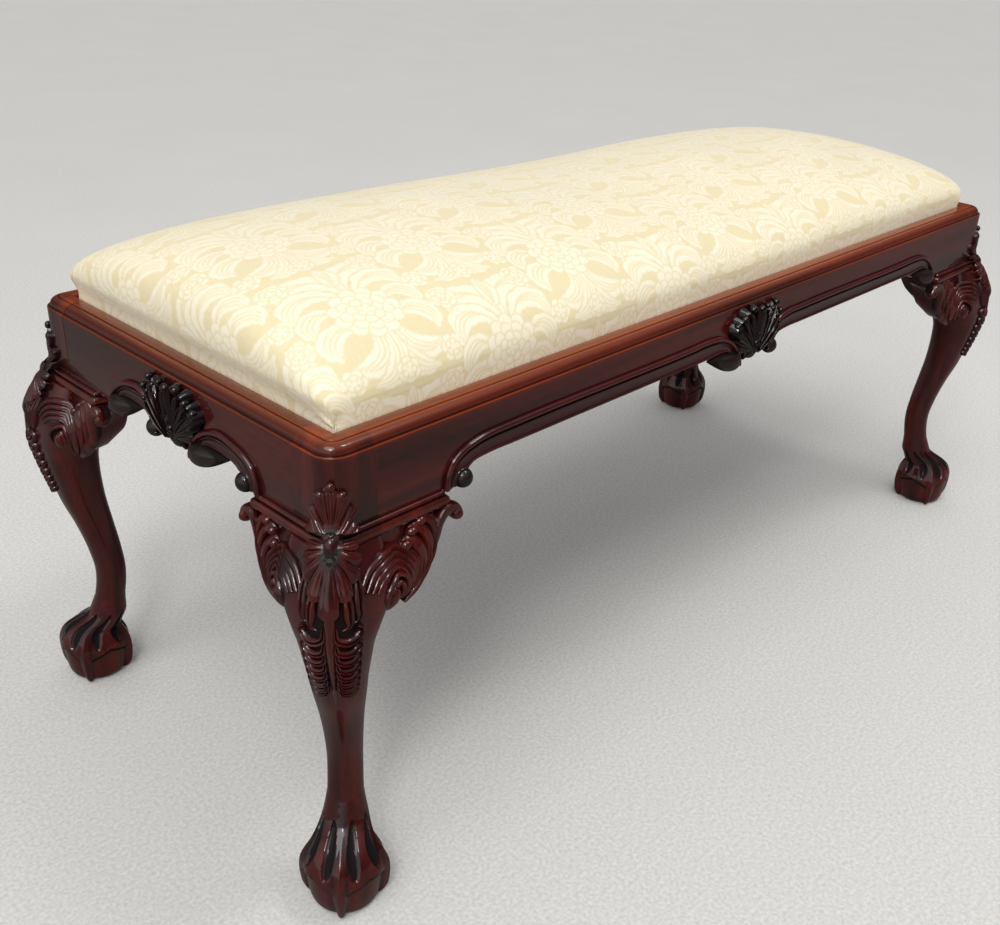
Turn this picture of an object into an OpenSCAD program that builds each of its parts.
// Mahogany window seat with four cabriole legs and a drop-in upholstered seat.
// X runs along the seat, Y across it, Z up. The origin is on the floor, under the middle.

/* [Overall] */
// Length over the rails, from outer face to outer face
seat_l = 1160; // [900:10:1500]
// Width over the rails, from outer face to outer face
seat_w = 475; // [420:5:560]
// Height of the rails' outer top edge above the floor
rail_top = 455; // [420:5:500]

/* [Rails] */
// Thickness of a rail
rail_t = 36; // [34:1:42]
// Height of a rail's face beside a leg
rail_face_h = 66; // [60:1:76]
// How far the lower edge rises between the scrolls
apron_rise = 19; // [14:1:24]
// Height of the raised band along the lower edge
band_w = 22; // [16:1:25]
// How far the band stands proud of the rail's face
band_proud = 2; // [1:0.5:4]
// Width of the bead along the band's upper side
bead_w = 6; // [3:0.5:7]
// How far the bead stands proud of the rail's face
bead_proud = 4.5; // [3:0.5:7]
// Radius of the scrolls that end the band
scroll_r = 24; // [18:1:26]
// Radius of the small balls in the scrolls
ball_eye_r = 8.5; // [6:0.5:9.5]
// How far the small balls stand proud of the rail's face
ball_eye_proud = 8; // [4:0.5:10]
// Thickness of the tenons
tenon_t = 11; // [8:1:12]
// Length of the tenons
tenon_l = 20; // [14:1:22]
// Height of the tenons above the rail's bottom, and of the ledge above them
tenon_rise = 8; // [6:1:12]
// Glue gap round a tenon
tenon_gap = 0.1; // [0.05:0.05:0.3]

/* [Rebate and top moulding] */
// Width of the lip round the rebate
lip_w = 25; // [22:0.5:30]
// Depth of the seat ledge below the rails' outer top edge
ledge_drop = 15; // [10:0.5:20]
// Height of the lip above the rails' outer top edge
moulding_h = 9.5; // [7:0.5:12]
// Width of the flat fillet at the outer edge
fillet_w = 3; // [2:0.5:4]
// Height of the step behind the fillet
fillet_step = 1; // [0.5:0.5:2]
// Width of the rounded member
ovolo_w = 8.5; // [6:0.5:10]
// Width of the groove behind it
groove_w = 1.5; // [1:0.5:2]
// Depth of the groove below the rounded member
groove_d = 1.5; // [1:0.5:3]
// Rounding of the inner strip's edges
strip_r = 1; // [0.5:0.5:1.5]

/* [Legs] */
// Side of the square post at the top of a leg
post_w = 48; // [46:1:56]
// Radius of the frame's outer corners in plan
corner_r = 22; // [16:1:24]
// Height of each of the two steps under the rail
step_h = 7; // [6:0.5:9]
// How far each step stands out past the one above
step_out = 3; // [2:0.5:4]
// Height of the ankle's lower end above the floor
ankle_h = 62; // [56:1:68]
// How far the knee stands out past the frame's corner
knee_out = 30; // [24:1:34]
// Half the leg's thickness at the knee, along the diagonal
knee_half = 45; // [40:1:47]
// Half the leg's thickness at its thinnest, along the diagonal
ankle_half = 16.5; // [14:0.5:20]

/* [Feet] */
// Radius of the ball under a leg
ball_r = 35; // [32:0.5:38]
// Height of the ball's centre above the floor
ball_h = 31; // [28:0.5:32]
// How far the foot's middle stands in from the frame's corner
foot_in = 3.5; // [0:0.5:8]
// Thickest radius of a claw's toe
toe_r = 9; // [7:0.5:11]

/* [Knee brackets] */
// Length of a long rail's bracket along its moulded top, from the frame's corner
bracket_l = 124; // [110:1:126]
// Length of a short rail's bracket along its moulded top, from the frame's corner
bracket_short_l = 105; // [90:1:108]
// Height of a bracket below its moulded top, beside the leg
bracket_h = 68; // [56:1:76]
// How far the ear's tip reaches past the moulding's end
ear_l = 15; // [10:1:17]
// How far the ear's tip rises beside the moulding's end
ear_h = 5; // [3:0.5:5.5]
// How far a bracket stands out from the rail's face beside the leg
bracket_out = 19; // [14:1:22]

/* [Carving] */
// Height of the shell carved on a rail
shell_h = 68; // [50:1:72]
// Width of the shell carved on a rail
shell_w = 100; // [80:1:110]
// Thickness of that shell
shell_t = 12; // [8:1:16]
// Radius of a shell lobe's tip
lobe_r = 5; // [3:0.5:6]
// Height of the leaf carved up the corner post
palmette_h = 42; // [30:1:50]
// Height of the shell carved on the knee
knee_shell_h = 56; // [40:1:60]
// Length of the husk below the knee's shell
husk_l = 96; // [60:1:110]
// Radius of the scroll beside the knee
volute_r = 21; // [16:1:24]
// How far that scroll stands out
volute_t = 6; // [4:0.5:8]

/* [Drop-in seat] */
// Gap between the covered seat and the rebate
seat_gap = 1; // [0.5:0.5:3]
// Thickness of the cover cloth
cloth_t = 1.2; // [0.8:0.1:2]
// Ease between the cloth and what it covers
ease = 0.3; // [0.2:0.05:0.5]
// Ease between the stuffing and its cover
pad_ease = 1; // [0.6:0.1:2]
// Width of the seat frame's members
member_w = 50; // [40:1:60]
// Thickness of the seat frame's members
member_t = 22; // [18:1:25]
// Rise of the crown above the rim, near the middle of the seat
crown_h = 86; // [60:1:100]
// How much higher the crown stands at the left end than at the middle
crown_tilt = 9; // [0:1:12]
// Dip of the crown over the middle of the seat
crown_dip = 6; // [0:1:14]
// How far the cover's sides draw in between the corners
side_draw = 4; // [0:1:8]
// Corner radius of the stuffed seat in plan
seat_corner_r = 14; // [8:1:20]
// Width of the cover turned under the frame
turn_under = 25; // [18:1:32]

/* [Webbing and linings] */
// Width of the webbing
web_w = 50; // [40:1:60]
// Thickness of the webbing
web_t = 1.4; // [1:0.1:2]
// Number of webbing strips across the seat
web_cross_count = 8; // [5:1:10]
// Number of webbing strips along the seat
web_long_count = 3; // [2:1:4]
// Thickness of the hessian
hessian_t = 1; // [0.6:0.1:1.5]
// Thickness of the bottoming cloth
bottoming_t = 1.2; // [0.8:0.1:1.6]

/* [Fastenings] */
// Side of a corner block along the rail
block_l = 48; // [36:1:56]
// Height of a corner block
block_h = 34; // [24:1:40]
// Radius of a screw's shank
screw_r = 2; // [1.5:0.25:3]
// Radius of a screw's head
screw_head_r = 4; // [3:0.25:5]
// Length of a screw
screw_l = 32; // [24:1:38]
// Radius of a dowel
dowel_r = 4; // [3:0.5:6]
// Radius of a tack's head
tack_head_r = 3.2; // [2.5:0.1:4]
// Thickness of a tack's head
tack_head_t = 0.8; // [0.6:0.1:1.2]
// Radius of a tack's shank
tack_r = 0.8; // [0.6:0.1:1.2]
// Length of a tack below its head
tack_l = 11; // [8:0.5:14]
// Distance between cover tacks
tack_pitch = 62; // [40:1:90]

/* [Hidden] */

// Overrun of a cut past the face it opens, and of a joined piece into its carrier
over = 1;
// Sides of the round work on rails, of the moulded corners, and of carved toes and lobes
fine = 64;
turned = 28;
carved = 6;
lobed = 6;
// Heights that everything else hangs on
rail_bottom = rail_top - rail_face_h;
knee_top = rail_bottom - 2 * step_h;
apron_bottom = rail_bottom + apron_rise;
arch_z = apron_bottom + band_w - scroll_r;
ledge = rail_top - ledge_drop;
lip_top = rail_top + moulding_h;
// Heights of the drop-in seat's layers, from the ledge up
turn_bottom = ledge + ease;
member_bottom = turn_bottom + cloth_t + ease;
member_top = member_bottom + member_t;
web_step = member_top + web_t;
hessian_bottom = member_top + 2 * web_t + ease / 3;
pad_bottom = hessian_bottom + hessian_t + ease;
// Underside of the corner blocks, whose tops stay clear of the seat's bottoming cloth
block_z = ledge - tenon_rise - block_h;
// Half sizes of the covered seat and of its frame
cover_x = seat_l / 2 - lip_w - seat_gap;
cover_y = seat_w / 2 - lip_w - seat_gap;
frame_in = cloth_t + ease;
member_x = cover_x - frame_in;
member_y = cover_y - frame_in;
// Wood and cloth colours
mahogany = "#4a1710";
mahogany_dark = "#2b100c";
beech = "#c9a36b";
jute = "#a88a5c";
damask = "#ecdcb2";
steel = "#6d6e70";
black_cloth = "#2f2d2b";

// Places of the four carved stations along a rail, from its scrolled end: the small scroll,
// the egg before the shell, the ball after it and the far scroll
long_station_share = [0.123, 0.459, 0.536, 0.866];
short_station_share = [0.246, 0.368, 0.549, 0.693];
// Place of the shell's foot, as a share of the way from the egg to the ball
shell_foot_share = 0.55;

// The leg's diagonal side view: height as a share of the knee's top, the middle's distance
// outside the frame's corner and half the thickness as shares of the knee's, and squareness
leg_share = [
    [1.00, -1.00, 0.80, 6], [0.947, -0.80, 0.93, 4.5], [0.907, -0.63, 1.00, 4],
    [0.853, -0.46, 0.96, 3.6], [0.813, -0.27, 0.84, 3.2], [0.773, -0.21, 0.73, 3],
    [0.72, -0.26, 0.65, 2.8], [0.667, -0.37, 0.58, 2.6], [0.613, -0.49, 0.53, 2.5],
    [0.533, -0.76, 0.45, 2.4], [0.44, -1.02, 0.39, 2.2], [0.373, -1.12, 0.367, 2.1],
    [0.32, -1.07, 0.367, 2.1], [0.253, -0.89, 0.385, 2], [0.20, -0.69, 0.43, 2],
    [0.165, -0.40, 0.52, 2], [0.12, -0.20, 0.62, 2]
];
ring_n = 14;
ring_steps = 2;

// A claw from the ankle to the talon: distance out from the foot's middle and height, as
// shares of the ball's radius, and radius as a share of the toe's
claw_share = [
    [0.36, 2.25, 0.80], [0.74, 1.65, 0.98], [1.00, 1.00, 0.92], [1.00, 0.42, 0.70],
    [0.90, 0.10, 0.35]
];

// Lobes of a rail's shell: across and up from its foot, as shares of its width and height
shell_lobe_share = [
    [-0.56, 0.50], [-0.54, 0.68], [-0.44, 0.80], [-0.33, 0.93], [-0.18, 0.96],
    [-0.03, 0.95], [0.13, 0.91], [0.27, 0.84], [0.36, 0.68]
];
// Lobes of the corner's leaf and of the knee's shell: across and along as shares of height
palmette_share = [[-0.26, 0.42], [-0.17, 0.72], [0, 0.98], [0.17, 0.72], [0.26, 0.42]];
knee_shell_share = [[-0.46, 0.44], [-0.28, 0.78], [0, 1.00], [0.28, 0.78], [0.46, 0.44]];

// A bracket's side view: along from the post as a share of its moulded length, down from its
// moulded top as a share of its height, and how far it stands out, as a share of bracket_out
bracket_share = [
    [0, 1.00, 1.00], [0.19, 0.99, 0.98], [0.41, 0.92, 0.86], [0.60, 0.78, 0.66],
    [0.72, 0.55, 0.46], [0.82, 0.34, 0.36], [1.00, 0.28, 0.34]
];
// The ear past the moulding's end: along as a share of ear_l, up as a share of ear_h, and
// down and out as for the bracket
ear_share = [[0.20, 0.1, 0.27, 0.40], [0.45, 0.9, 0.26, 0.40], [0.80, 0.95, 0.20, 0.30], [1, 0.6, 0, 0.16]];

// Rings of the stuffed seat from its rim to its middle, as shares of its half sizes
crown_share = [0, 0.006, 0.02, 0.05, 0.10, 0.18, 0.30, 0.46, 0.64, 0.82];
pad_side_n = 8;
pad_corner_n = 3;

// Point on a superellipse of half side h and squareness n, at an angle
function bent(v, n) = sign(v) * pow(abs(v), 2 / n);
function oval(h, n, a) = [h * bent(cos(a), n), h * bent(sin(a), n)];
// Half side of a superellipse that measures d from its middle along its diagonal
function side_of(d, n) = d / pow(2, 0.5 - 1 / n);

// A smooth curve through four rows of a table, at t between the second and third
function smooth(a, b, c, d, t) =
    0.5 * (2 * b + (c - a) * t + (2 * a - 5 * b + 4 * c - d) * t * t
        + (3 * b - a - 3 * c + d) * t * t * t);
function leg_row(i) = leg_share[max(0, min(len(leg_share) - 1, i))];
function leg_at(i, t) = smooth(leg_row(i - 1), leg_row(i), leg_row(i + 1), leg_row(i + 2), t);
leg_rows = [
    for (i = [0:len(leg_share) - 2]) for (k = [0:ring_steps - 1]) leg_at(i, k / ring_steps),
    leg_row(len(leg_share) - 1)
];
function row_z(r) = r[0] * knee_top;
function row_out(r) = r[1] * knee_out;
function row_half(r) = knee_half * r[2] > ankle_half ? knee_half * r[2] : ankle_half;
// The leg's row nearest above a height, and the middle's and the edge's distance out there
function row_above(z, i = 0) =
    i >= len(leg_rows) - 1 || row_z(leg_rows[i + 1]) < z ? i : row_above(z, i + 1);
function blend_rows(z, i) =
    let(a = leg_rows[i], b = leg_rows[min(i + 1, len(leg_rows) - 1)],
        t = row_z(a) == row_z(b) ? 0 : (row_z(a) - z) / (row_z(a) - row_z(b)))
    a + (b - a) * max(0, min(1, t));
function leg_row_at(z) = blend_rows(z, row_above(z));
function middle_out(z) = row_out(leg_row_at(z));
function edge_out(z) = middle_out(z) + row_half(leg_row_at(z));
// A point given by its distance out along the diagonal, sideways from it, and height
function corner_point(o, s, z) = [(s - o) / sqrt(2), (-s - o) / sqrt(2), z];
// The leg's surface beside its front edge, sideways s
function knee_point(s, z, lift = 0) =
    corner_point(edge_out(z) - s * s / (2 * row_half(leg_row_at(z))) + lift, s, z);

// A closed skin over rings of equal count, with a point at each end
module skin(rings, first, last) {
    n = len(rings[0]);
    m = len(rings);
    pts = [first, for (r = rings) for (p = r) p, last];
    polyhedron(points = pts, faces = [
        for (j = [0:n - 1]) [0, 1 + (j + 1) % n, 1 + j],
        for (i = [0:m - 2]) for (j = [0:n - 1])
            let(a = 1 + i * n + j, b = 1 + i * n + (j + 1) % n) [a, b, b + n],
        for (i = [0:m - 2]) for (j = [0:n - 1])
            let(a = 1 + i * n + j, b = 1 + i * n + (j + 1) % n) [a, b + n, a + n],
        for (j = [0:n - 1])
            let(a = 1 + (m - 1) * n) [a + j, a + (j + 1) % n, 1 + m * n]
    ]);
}

// Section of the top moulding behind its flat fillet: inset from the outer face, and height
// above rail_top
module moulding_section() {
    ovolo_h = moulding_h - fillet_step - groove_d / 2;
    ovolo_in = fillet_w + ovolo_w;
    polygon([
        [fillet_w, -over], [fillet_w, fillet_step],
        for (a = [22.5:22.5:90])
            [ovolo_in - ovolo_w * cos(a), fillet_step + ovolo_h * sin(a)],
        [ovolo_in, moulding_h - groove_d - groove_d / 2],
        [ovolo_in + groove_w, moulding_h - groove_d - groove_d / 2],
        [ovolo_in + groove_w, moulding_h - strip_r], [ovolo_in + groove_w + strip_r, moulding_h],
        [lip_w - strip_r, moulding_h], [lip_w, moulding_h - strip_r], [lip_w, -over]
    ]);
}

// A solid of the moulding's section along X, from x0, so long
module moulding_run(x0, run) {
    translate([x0, 0, rail_top]) rotate([90, 0, 90]) linear_extrude(run) moulding_section();
}

// Something drawn in the X-Z plane, carried inwards from y0 through a depth
module carved_from(y0, depth) {
    translate([0, y0 + depth, 0]) rotate([90, 0, 0]) linear_extrude(depth) children();
}

// Place of the shell's foot between the egg and the ball
function shell_foot(at) = at[1] + (at[2] - at[1]) * shell_foot_share;

// Lower edge of a rail between its posts, drawn in the X-Z plane from its scrolled end
module apron_outline(run, at) {
    fill_r = scroll_r / 2;
    foot_x = shell_foot(at);
    difference() {
        union() {
            translate([post_w, apron_bottom])
                square([run - 2 * post_w, rail_top - apron_bottom]);
            translate([post_w, rail_bottom]) square([at[0] - post_w, rail_face_h / 2]);
            translate([at[3], rail_bottom]) square([run - post_w - at[3], rail_face_h / 2]);
            translate([at[0], rail_bottom + fill_r]) square([fill_r, fill_r + over]);
            translate([at[3] - fill_r, rail_bottom + fill_r]) square([fill_r, fill_r + over]);
            polygon([
                [at[1], apron_bottom + over], [at[1], apron_bottom - apron_rise / 3],
                [foot_x - shell_w / 4, rail_bottom], [foot_x + shell_w / 4, rail_bottom],
                [at[2], apron_bottom - apron_rise / 3], [at[2], apron_bottom + over]
            ]);
        }
        translate([at[0] + fill_r, rail_bottom + fill_r]) circle(fill_r, $fn = fine);
        translate([at[3] - fill_r, rail_bottom + fill_r]) circle(fill_r, $fn = fine);
    }
    for (x = at) translate([x, rail_bottom + over]) circle(ball_eye_r, $fn = fine);
}

// The raised band's arch over a scroll, drawn in the X-Z plane
module arch(x, wide, side) {
    translate([x, arch_z]) difference() {
        circle(scroll_r, $fn = fine);
        circle(scroll_r - wide, $fn = fine);
        translate([side < 0 ? -over - 2 * scroll_r : over, -2 * scroll_r])
            square([2 * scroll_r, 2 * scroll_r]);
        translate([-2 * scroll_r, rail_bottom - arch_z - 2 * scroll_r])
            square([4 * scroll_r, 2 * scroll_r]);
    }
}

// One rail along X from the frame's corner, outer face at y = 0
module rail(run, station_share) {
    at = run * station_share;
    clear = run - 2 * post_w;
    band_z = apron_bottom + band_w;
    tenon_z = rail_bottom + tenon_rise;
    difference() {
        union() {
            carved_from(0, rail_t) apron_outline(run, at);
            for (x = [post_w - tenon_l, run - post_w - over])
                translate([x, (lip_w - tenon_t) / 2, tenon_z])
                    cube([tenon_l + over, tenon_t, ledge - tenon_rise - tenon_z]);
            moulding_run(post_w, clear);
            for (part = [[at[0], at[1]], [at[2], at[3]]]) {
                translate([part[0] + ball_eye_r, -band_proud, apron_bottom])
                    cube([part[1] - part[0] - 2 * ball_eye_r, over + band_proud, band_w]);
                translate([part[0] + ball_eye_r, -bead_proud, band_z - bead_w])
                    cube([part[1] - part[0] - 2 * ball_eye_r, over + bead_proud, bead_w]);
            }
            carved_from(-bead_proud, over + bead_proud) {
                arch(at[0] + bead_w, bead_w, 1);
                arch(at[3] - bead_w, bead_w, -1);
                arch(at[1], bead_w, -1);
                arch(at[2], bead_w, 1);
            }
            for (x = at) translate([x, over, rail_bottom + over]) rotate([90, 0, 0])
                cylinder(r = ball_eye_r, h = ball_eye_proud + over, $fn = fine);
        }
        translate([post_w - over, lip_w, ledge])
            cube([clear + 2 * over, rail_t, rail_face_h]);
    }
}

// The carved shell over a rail's middle, in the rail's own place
module rail_shell(run, station_share) {
    at = run * station_share;
    foot_x = shell_foot(at);
    foot_z = rail_bottom - over;
    root_r = lobe_r + over;
    difference() {
        translate([foot_x, 0, foot_z]) union() {
            for (p = shell_lobe_share) hull() {
                translate([0, -root_r, root_r]) sphere(r = root_r, $fn = lobed);
                translate([p[0] * shell_w, -shell_t / 3, p[1] * (shell_h - lobe_r)])
                    sphere(r = lobe_r, $fn = lobed);
            }
            for (s = [0.25, -0.25]) translate([s * shell_w / 2, -shell_t / 2, root_r + over])
                sphere(r = root_r, $fn = lobed);
        }
        // It lies on the rail's face, and over the arches that end the band on both sides
        translate([foot_x - shell_w, 0, foot_z - shell_h]) cube([2 * shell_w, shell_t, 3 * shell_h]);
        for (x = [at[1], at[2]]) translate([x, over, arch_z]) rotate([90, 0, 0])
            cylinder(r = scroll_r + ease, h = over + bead_proud + ease, $fn = turned);
        for (part = [[at[0], at[1]], [at[2], at[3]]])
            translate([part[0] + ball_eye_r - ease, -bead_proud - ease, apron_bottom - ease])
                cube([part[1] - part[0] - 2 * ball_eye_r + 2 * ease,
                    over + bead_proud + ease, band_w + 2 * ease]);
    }
}

// Plan of the post, grown by g on its two outer sides
module post_plan(g = 0) {
    r = corner_r + g;
    translate([r - g, -g]) square([post_w - r + g, post_w + g]);
    translate([-g, r - g]) square([post_w + g, post_w - r + g]);
    intersection() {
        translate([r - g, r - g]) circle(r, $fn = turned);
        translate([-g, -g]) square(post_w + g);
    }
}

// Smooth shaft of the leg from the knee down to the ankle
module leg_shaft() {
    rings = [
        for (r = leg_rows)
            let(c = corner_point(row_out(r), 0, row_z(r)), n = r[3], h = side_of(row_half(r), n))
            [for (j = [0:ring_n - 1]) let(p = oval(h, n, j * 360 / ring_n))
                c + [p[0], p[1], 0]]
    ];
    top = leg_rows[0];
    low = leg_rows[len(leg_rows) - 1];
    skin(rings, corner_point(row_out(top), 0, row_z(top)),
        corner_point(row_out(low), 0, row_z(low)));
}

// A point of the claw that points at angle a from the diagonal
function claw_point(c, a) =
    let(z = c[1] * ball_r, o = z > ankle_h ? middle_out(z) : -foot_in, d = c[0] * ball_r)
    corner_point(o + d * cos(a), d * sin(a), z);

// Ball with four claws round it, cut flat at the floor
module foot() {
    intersection() {
        union() {
            translate(corner_point(-foot_in, 0, ball_h)) sphere(r = ball_r, $fn = turned / 2);
            for (a = [0:90:270]) for (i = [0:len(claw_share) - 2]) hull() {
                translate(claw_point(claw_share[i], a))
                    sphere(r = claw_share[i][2] * toe_r, $fn = carved);
                translate(claw_point(claw_share[i + 1], a))
                    sphere(r = claw_share[i + 1][2] * toe_r, $fn = carved);
            }
        }
        translate([-2 * ball_r, -2 * ball_r, 0]) cube([4 * ball_r, 4 * ball_r, 4 * ball_r]);
    }
}

// Carved leaf on the corner post, bead, knee shell and husk, all on the diagonal
module knee_carving() {
    // The diagonal distance of the post's corner, and of the lower step's
    post_out = corner_r * (1 - sqrt(2));
    step_corner = post_out + 2 * step_out;
    bead_z = rail_bottom + lobe_r;
    r = lobe_r * 0.7;
    for (p = palmette_share) hull() {
        translate(corner_point(post_out, 0, bead_z)) sphere(r = r, $fn = lobed);
        translate(corner_point(post_out - abs(p[0]) * lobe_r - r / 2, p[0] * palmette_h,
            bead_z + p[1] * (palmette_h - r))) sphere(r = r, $fn = lobed);
    }
    // The bead sits half into the post's corner, so no gap is left behind it
    translate(corner_point(post_out + lobe_r / 2, 0, rail_bottom))
        sphere(r = lobe_r, $fn = lobed);
    for (p = knee_shell_share) hull() {
        translate(corner_point(step_corner - lobe_r / 2, 0, rail_bottom - step_h))
            sphere(r = lobe_r * 1.5, $fn = lobed);
        translate(knee_point(p[0] * knee_shell_h, rail_bottom - p[1] * (knee_shell_h - lobe_r),
            -lobe_r)) sphere(r = lobe_r * 1.7, $fn = lobed);
    }
    husk_top = rail_bottom - knee_shell_h;
    for (i = [0, 1]) hull() for (k = [i, i + 1])
        translate(knee_point(0, husk_top - k * husk_l / 2, 0))
            sphere(r = lobe_r * (1 - k / 3) / 2 + over, $fn = lobed);
}

// The scroll that a leg shares with its bracket, a flat disc with a ridge and an eye
module volute() {
    t = volute_t;
    translate([post_w - over, -bracket_out + 2 * t, knee_top - bracket_h * 0.72])
        rotate([90, 0, 0]) rotate_extrude($fn = turned / 2) polygon([
            [0, 0], [volute_r, 0], [volute_r, t], [volute_r * 0.8, 2 * t], [volute_r * 0.6, t * 1.5],
            [volute_r * 0.35, 2 * t], [0, 2.2 * t]
        ]);
}

// One leg at the frame's front left corner
module leg() {
    tenon_z = rail_bottom + tenon_rise;
    color(mahogany) difference() {
        union() {
            intersection() {
                union() {
                    leg_shaft();
                    volute();
                    mirror([1, -1, 0]) volute();
                }
                translate([-2 * post_w, -2 * post_w, 0])
                    cube([3 * post_w, 3 * post_w, knee_top]);
            }
            foot();
            translate([0, 0, knee_top - over])
                linear_extrude(step_h + over) post_plan(2 * step_out);
            translate([0, 0, knee_top + step_h])
                linear_extrude(step_h) post_plan(step_out);
            translate([0, 0, rail_bottom]) linear_extrude(rail_face_h) post_plan();
            translate([corner_r, corner_r, rail_top])
                rotate([0, 0, 180]) rotate_extrude(angle = 90, $fn = turned)
                    intersection() {
                        translate([corner_r, 0]) mirror([1, 0]) moulding_section();
                        translate([0, -over]) square([corner_r, moulding_h + over]);
                    }
            moulding_run(corner_r, post_w - corner_r);
            mirror([1, -1, 0]) moulding_run(corner_r, post_w - corner_r);
            knee_carving();
        }
        translate([lip_w, lip_w, ledge]) cube([post_w, post_w, rail_face_h]);
        for (k = [0, 1]) mirror([k, -k, 0])
            translate([post_w - tenon_l - tenon_gap, (lip_w - tenon_t) / 2 - tenon_gap,
                tenon_z - tenon_gap])
                cube([tenon_l + over, tenon_t + 2 * tenon_gap,
                    ledge - tenon_rise - tenon_z + 2 * tenon_gap]);
    }
}

// A knee bracket under the rail along X, beside the front left leg
module bracket(reach) {
    run = reach - post_w;
    back = rail_t - over;
    rows = concat(
        [for (b = bracket_share) [post_w + b[0] * run, 0, b[1], b[2]]],
        [for (e = ear_share) [reach + e[0] * ear_l, e[1], e[2], e[3]]]
    );
    rings = [
        for (b = rows)
            let(x = b[0], low = knee_top - b[2] * bracket_h, top = knee_top + b[1] * ear_h,
                out = b[3] * bracket_out, mid = (low + top) / 2)
            [[x, back, top], [x, back, (low + mid) / 2], [x, back / 2, low],
             [x, -out * 0.75, low], [x, -out, (mid + low) / 2], [x, -out, (top + mid) / 2],
             [x, -out * 0.7, top]]
    ];
    tip = rows[len(rows) - 1];
    color(mahogany) union() {
        skin(rings, [post_w, 0, knee_top - bracket_h / 2],
            [tip[0], 0, knee_top + tip[1] * ear_h / 2]);
        difference() {
            volute();
            translate([-volute_r, -2 * bracket_out, 0])
                cube([volute_r + post_w, 4 * bracket_out, rail_top]);
        }
        translate([post_w, -2 * step_out, knee_top - over])
            cube([run, back + 2 * step_out, step_h + over]);
        translate([post_w, -step_out, knee_top + step_h])
            cube([run, back + step_out, step_h]);
    }
}

// A corner block behind the front left post
module corner_block() {
    a = rail_t;
    b = post_w + block_l;
    color(beech) translate([0, 0, block_z]) linear_extrude(block_h)
        polygon([[post_w, a], [b, a], [a, b], [a, post_w], [post_w, post_w]]);
}

// A countersunk screw along -Y, its head's face at the origin
module screw() {
    rotate([90, 0, 0]) {
        cylinder(r = screw_head_r, h = screw_r, $fn = fine / 2);
        cylinder(r = screw_r, h = screw_l, $fn = fine / 2);
    }
}

// The two screws of the front left corner block, each into one rail
module block_screws() {
    x = post_w + block_l / 2;
    y = rail_t + post_w + block_l - x - screw_head_r;
    for (k = [0, 1]) mirror([k, -k, 0])
        translate([x, y, block_z + block_h * (k + 1) / 3]) screw();
}

// Turns something made at the front left corner to another corner
module at_corner(x_side, y_side) {
    scale([x_side, y_side, 1]) translate([-seat_l / 2, -seat_w / 2, 0]) children();
}

// Plan of the seat frame set in by g, its corners rounded to fit in the cover
module frame_plan(g = 0) {
    r = seat_corner_r + frame_in;
    x = member_x - g;
    y = member_y - g;
    for (k = [0, 1]) translate([(k - 1) * r - x + r, -k * r - y + r])
        square([2 * x - 2 * k * r, 2 * y - 2 * (1 - k) * r]);
    for (u = [-1, 1]) for (v = [-1, 1])
        translate([u * (x - r), v * (y - r)]) circle(r, $fn = fine);
}

// One long member of the seat frame, at the front, lapped half its thickness at the ends
module long_member() {
    difference() {
        translate([0, 0, member_bottom]) linear_extrude(member_t) intersection() {
            frame_plan();
            translate([-member_x, -member_y]) square([2 * member_x, member_w]);
        }
        for (x = [-member_x - over, member_x - member_w])
            translate([x, -member_y - over, member_bottom + member_t / 2])
                cube([member_w + over, member_w + 2 * over, member_t]);
    }
}

// One short member of the seat frame, at the left
module short_member() {
    difference() {
        translate([0, 0, member_bottom]) linear_extrude(member_t) intersection() {
            frame_plan();
            translate([-member_x, -member_y]) square([member_w, 2 * member_y]);
        }
        for (y = [-member_y - over, member_y - member_w])
            translate([-member_x - over, y, member_bottom - member_t / 2])
                cube([member_w + 2 * over, member_w + over, member_t]);
    }
}

// Two dowels through each lapped corner and into each end of the middle member
module dowels() {
    d = member_w / 4;
    for (x = [-1, 1]) for (y = [-1, 1]) for (k = [-1, 1])
        translate([x * (member_x - member_w / 2) + k * d, y * (member_y - member_w / 2) + k * d,
            member_bottom])
            cylinder(r = dowel_r, h = member_t, $fn = fine / 2);
    for (x = [-1, 1]) for (y = [-1, 1])
        translate([x * d, y * (member_y - member_w) + member_w / 2, member_bottom + member_t / 2])
            rotate([90, 0, 0]) cylinder(r = dowel_r, h = member_w, $fn = fine / 2);
}

// Places of webbing strips over a span, evenly spread
function strip_places(span, count) = [for (i = [1:count]) (2 * i / (count + 1) - 1) * span];
cross_places = strip_places(member_x, web_cross_count);
long_places = strip_places(member_y, web_long_count);

// A webbing strip along X that rests on the end members and steps up over the cross strips
module long_strip(y) {
    end = member_x - ease;
    foot = member_x - member_w;
    rise = foot - web_w / 2;
    first = min([for (p = cross_places) p]) - web_w / 2 - 2 * web_t;
    up = max(-rise, first - web_w / 2);
    translate([0, y + web_w / 2, 0]) rotate([90, 0, 0]) linear_extrude(web_w) polygon([
        [-end, member_top], [up - web_w / 2, member_top], [up, web_step],
        [-up, web_step], [web_w / 2 - up, member_top], [end, member_top],
        [end, web_step], [web_w / 2 - up, web_step], [-up, web_step + web_t],
        [up, web_step + web_t], [up - web_w / 2, web_step], [-end, web_step]
    ]);
}

// A tack with its head's outer face at the origin and its shank along +Z
module tack() {
    cylinder(r = tack_head_r, h = tack_head_t, $fn = fine / 4);
    cylinder(r = tack_r, h = tack_l + tack_head_t, $fn = fine / 4);
}

// Tacks along the four sides of a rectangle of half sizes x and y, a pitch apart
module tack_rows(x, y, pitch) {
    nx = floor(2 * x / pitch);
    ny = floor(2 * y / pitch);
    for (i = [0:nx]) for (s = [-1, 1])
        translate([(2 * i / nx - 1) * (x - pitch / 2), s * y, 0]) tack();
    for (i = [0:ny]) for (s = [-1, 1])
        translate([s * x, (2 * i / ny - 1) * (y - pitch / 2), 0]) tack();
}

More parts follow.
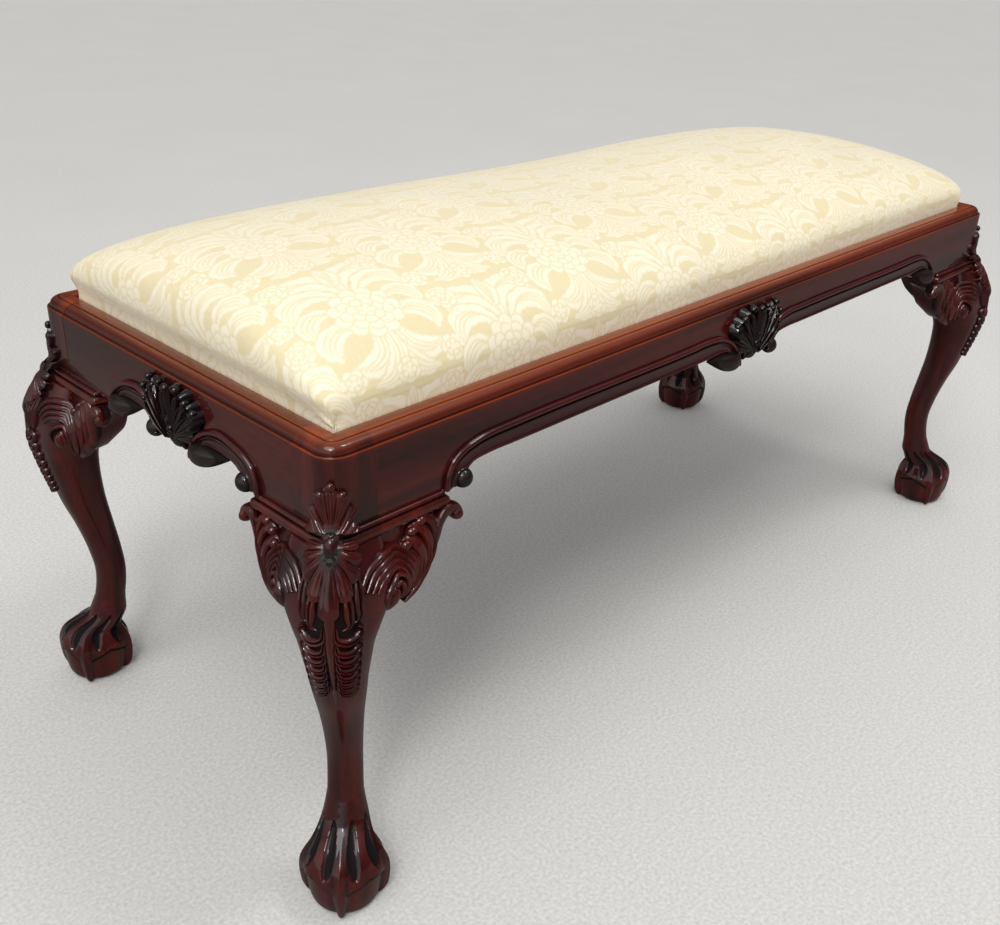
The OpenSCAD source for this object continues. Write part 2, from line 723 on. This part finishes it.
// Plan of the stuffed seat: points round a rectangle with rounded corners, set in by g, its
// sides drawn in by d between the corners
function plan_corner(x, y, r, k, i) =
    let(a = 90 * k + 90 * i / pad_corner_n, cx = (k == 0 || k == 3 ? 1 : -1) * (x - r),
        cy = (k < 2 ? 1 : -1) * (y - r))
    [cx + r * cos(a), cy + r * sin(a)];
function plan_side(p, q, d, k) =
    [for (i = [1:pad_side_n - 1]) let(t = i / pad_side_n, m = p + (q - p) * t)
        m - [cos(90 * k + 90), sin(90 * k + 90)] * d * 4 * t * (1 - t)];
function seat_plan(x, y, r, d) = [
    for (k = [0:3]) each concat(
        [for (i = [0:pad_corner_n]) plan_corner(x, y, r, k, i)],
        plan_side(plan_corner(x, y, r, k, pad_corner_n),
            plan_corner(x, y, r, (k + 1) % 4, 0), d, k))
];
// Height of the crown above the rim at a point given as shares of the half sizes
function crown_at(s, t) =
    (crown_h - crown_dip * exp(-pow(s / 0.35, 2)) - crown_tilt * s)
        * pow(max(0, 1 - pow(abs(s), 5)), 0.15) * pow(max(0, 1 - t * t), 0.33);
// A ring of the crown, set in by a share of the half sizes, the whole sunk by g
function crown_ring(q, g) =
    let(x = cover_x - g, y = cover_y - g, k = 1 - q,
        plan = seat_plan(x * k, y * k, max(seat_corner_r * (1 - q * q), over) * k,
            side_draw * k * (q < 0.05 ? q / 0.05 : 1)))
    [for (p = plan) [p[0], p[1], lip_top + crown_at(p[0] / x, p[1] / y) * (1 - g / crown_h)]];
function level_ring(x, y, z) = [for (p = seat_plan(x, y, seat_corner_r, 0)) [p[0], p[1], z]];
function crown_top(g) = [0, 0, lip_top + crown_at(0, 0) * (1 - g / crown_h)];
function backwards(list) = [for (i = [len(list) - 1:-1:0]) list[i]];

module damask_cover_shell() {
    g = cloth_t;
    x = cover_x;
    y = cover_y;
    outer = [
        level_ring(x - turn_under, y - turn_under, turn_bottom),
        level_ring(x, y, turn_bottom),
        for (q = crown_share) crown_ring(q, 0)
    ];
    inner = [
        level_ring(x - turn_under, y - turn_under, turn_bottom + g),
        level_ring(x - g, y - g, turn_bottom + g),
        for (q = crown_share) crown_ring(q, g)
    ];
    n = len(outer[0]);
    m = len(outer);
    all = concat(outer, inner);
    tops = [crown_top(0), crown_top(g)];
    pts = concat([for (r = all) each r], tops);
    function at(i, j) = i * n + j % n;
    color(damask) polyhedron(points = pts, faces = [
        for (i = [0:m - 2]) for (j = [0:n - 1]) [at(i, j), at(i + 1, j), at(i, j + 1)],
        for (i = [0:m - 2]) for (j = [0:n - 1]) [at(i + 1, j), at(i + 1, j + 1), at(i, j + 1)],
        for (i = [m:2 * m - 2]) for (j = [0:n - 1]) [at(i, j), at(i, j + 1), at(i + 1, j)],
        for (i = [m:2 * m - 2]) for (j = [0:n - 1]) [at(i + 1, j), at(i, j + 1), at(i + 1, j + 1)],
        for (j = [0:n - 1]) [at(m - 1, j), 2 * m * n, at(m - 1, j + 1)],
        for (j = [0:n - 1]) [at(2 * m - 1, j), at(2 * m - 1, j + 1), 2 * m * n + 1],
        for (j = [0:n - 1]) [at(0, j), at(0, j + 1), at(m, j + 1)],
        for (j = [0:n - 1]) [at(0, j), at(m, j + 1), at(m, j)]
    ]);
}

module pad() {
    g = cloth_t + pad_ease;
    rim = level_ring(cover_x - g, cover_y - g, pad_bottom);
    raised = [for (q = crown_share) if (q > 0) crown_ring(q, g)];
    color("wheat") skin(backwards([rim, each raised]), crown_top(g), [0, 0, pad_bottom]);
}

// Bottoming cloth, its corners cut back to clear the posts
module bottoming() {
    x = seat_l / 2 - rail_t - seat_gap;
    y = seat_w / 2 - rail_t - seat_gap;
    c = 2 * (post_w - rail_t);
    z = turn_bottom - tack_head_t - ease / 2 - bottoming_t;
    color(black_cloth) translate([0, 0, z]) linear_extrude(bottoming_t) polygon([
        for (k = [[1, 1], [-1, 1], [-1, -1], [1, -1]])
            let(a = [k[0] * (x - c), k[1] * y], b = [k[0] * x, k[1] * (y - c)])
            each (k[0] * k[1] > 0 ? [b, a] : [a, b])
    ]);
}

module front_rail() {
    color(mahogany) translate([-seat_l / 2, -seat_w / 2, 0]) rail(seat_l, long_station_share);
}
module left_rail() {
    color(mahogany) translate([-seat_l / 2, -seat_w / 2, 0]) mirror([1, -1, 0])
        rail(seat_w, short_station_share);
}
module front_shell() {
    color(mahogany_dark) translate([-seat_l / 2, -seat_w / 2, 0])
        rail_shell(seat_l, long_station_share);
}
module left_shell() {
    color(mahogany_dark) translate([-seat_l / 2, -seat_w / 2, 0]) mirror([1, -1, 0])
        rail_shell(seat_w, short_station_share);
}

module corner_block_screws() {
    color(steel) for (x = [-1, 1]) for (y = [-1, 1]) at_corner(-x, -y) block_screws();
}

module webbing_cross() {
    color(jute) for (x = cross_places)
        translate([x - web_w / 2, ease - member_y, member_top])
            cube([web_w, 2 * (member_y - ease), web_t]);
}

module webbing_tacks() {
    z = web_step + tack_head_t;
    color(steel) {
        for (x = cross_places) for (s = [-1, 1]) for (k = [-1, 1])
            translate([x + k * web_w / 4, s * (member_y - member_w / 2), z])
                rotate([180, 0, 0]) tack();
        for (y = long_places) for (s = [-1, 1]) for (k = [-1, 1])
            translate([s * (member_x - member_w / 4), y + k * web_w / 4, z])
                rotate([180, 0, 0]) tack();
    }
}

module hessian_cloth() {
    color(jute) translate([0, 0, hessian_bottom]) linear_extrude(hessian_t)
        frame_plan(pad_ease);
}

module cover_tacks() {
    side = rail_t - lip_w - seat_gap + 2 * tack_head_r;
    color(steel) translate([0, 0, turn_bottom - tack_head_t])
        tack_rows(cover_x - side, cover_y - side, tack_pitch);
}

module bottoming_tacks() {
    side = rail_t + 6 * tack_head_r;
    z = turn_bottom - 2 * tack_head_t - ease / 2 - bottoming_t;
    color(steel) translate([0, 0, z])
        tack_rows(seat_l / 2 - side, seat_w / 2 - side, 2 * tack_pitch);
}

front_rail();
rotate([0, 0, 180]) front_rail();  // back_rail
left_rail();
rotate([0, 0, 180]) left_rail();  // right_rail
front_shell();
rotate([0, 0, 180]) front_shell();  // back_shell
left_shell();
rotate([0, 0, 180]) left_shell();  // right_shell
at_corner(1, 1) leg();  // leg_front_left
at_corner(-1, 1) leg();  // leg_front_right
at_corner(1, -1) leg();  // leg_back_left
at_corner(-1, -1) leg();  // leg_back_right
at_corner(1, 1) bracket(bracket_l);  // knee_bracket_front_left_x
at_corner(1, 1) mirror([1, -1, 0]) bracket(bracket_short_l);  // knee_bracket_front_left_y
at_corner(-1, 1) bracket(bracket_l);  // knee_bracket_front_right_x
at_corner(-1, 1) mirror([1, -1, 0]) bracket(bracket_short_l);  // knee_bracket_front_right_y
at_corner(1, -1) bracket(bracket_l);  // knee_bracket_back_left_x
at_corner(1, -1) mirror([1, -1, 0]) bracket(bracket_short_l);  // knee_bracket_back_left_y
at_corner(-1, -1) bracket(bracket_l);  // knee_bracket_back_right_x
at_corner(-1, -1) mirror([1, -1, 0]) bracket(bracket_short_l);  // knee_bracket_back_right_y
at_corner(1, 1) corner_block();  // corner_block_front_left
at_corner(-1, 1) corner_block();  // corner_block_front_right
at_corner(1, -1) corner_block();  // corner_block_back_left
at_corner(-1, -1) corner_block();  // corner_block_back_right
corner_block_screws();
color(beech) long_member();  // seat_frame_front
color(beech) rotate([0, 0, 180]) long_member();  // seat_frame_back
color(beech) short_member();  // seat_frame_left
color(beech) rotate([0, 0, 180]) short_member();  // seat_frame_right
color(beech)  // seat_frame_middle
    translate([-member_w / 2, member_w - member_y, member_bottom])
        cube([member_w, 2 * (member_y - member_w), member_t]);
color(beech) dowels();  // seat_frame_dowels
webbing_cross();
color(jute) for (y = long_places) long_strip(y);  // webbing_long
webbing_tacks();
hessian_cloth();  // hessian
pad();  // stuffing_pad
damask_cover_shell();  // damask_cover
cover_tacks();
bottoming();  // bottoming_cloth
bottoming_tacks();
